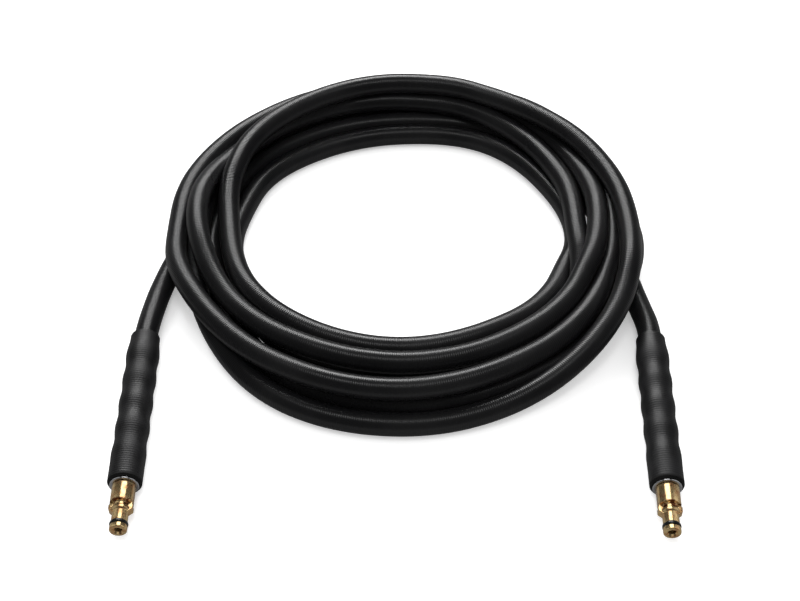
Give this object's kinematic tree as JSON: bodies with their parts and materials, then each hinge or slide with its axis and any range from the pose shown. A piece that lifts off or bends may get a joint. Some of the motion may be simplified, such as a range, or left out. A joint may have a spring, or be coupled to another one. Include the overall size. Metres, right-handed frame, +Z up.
{
  "type": "pressure washer hose",
  "caption": "Flexible rubber pressure hose wound in a loose flat floor coil, each end in a waved bend sleeve with a steel ferrule and a brass bayonet plug with a sealing ring.",
  "frame": {"origin": "on the floor, under the middle of the hose's overall box", "axes": "+Z up from the floor; the plugs point towards -Y; +X runs from the left plug to the right plug"},
  "size_m": [0.3384, 0.4028, 0.036],
  "materials": {
    "hose_rubber": "satin black rubber with a fine cross-ribbed cover",
    "sleeve_rubber": "matte charcoal moulded rubber",
    "seal_rubber": "smooth black sealing rubber",
    "brass": "turned and polished",
    "steel": "bright plated steel"
  },
  "bodies": {
    "root": {"hose_coil": "hose_rubber", "hose_tail_left": "hose_rubber", "hose_tail_right": "hose_rubber", "bend_sleeve_left": "sleeve_rubber", "bend_sleeve_right": "sleeve_rubber", "ferrule_left": "steel", "ferrule_right": "steel", "plug_left": "brass", "plug_right": "brass", "plug_o_ring_left": "seal_rubber", "plug_o_ring_right": "seal_rubber"}
  },
  "joints": []
}
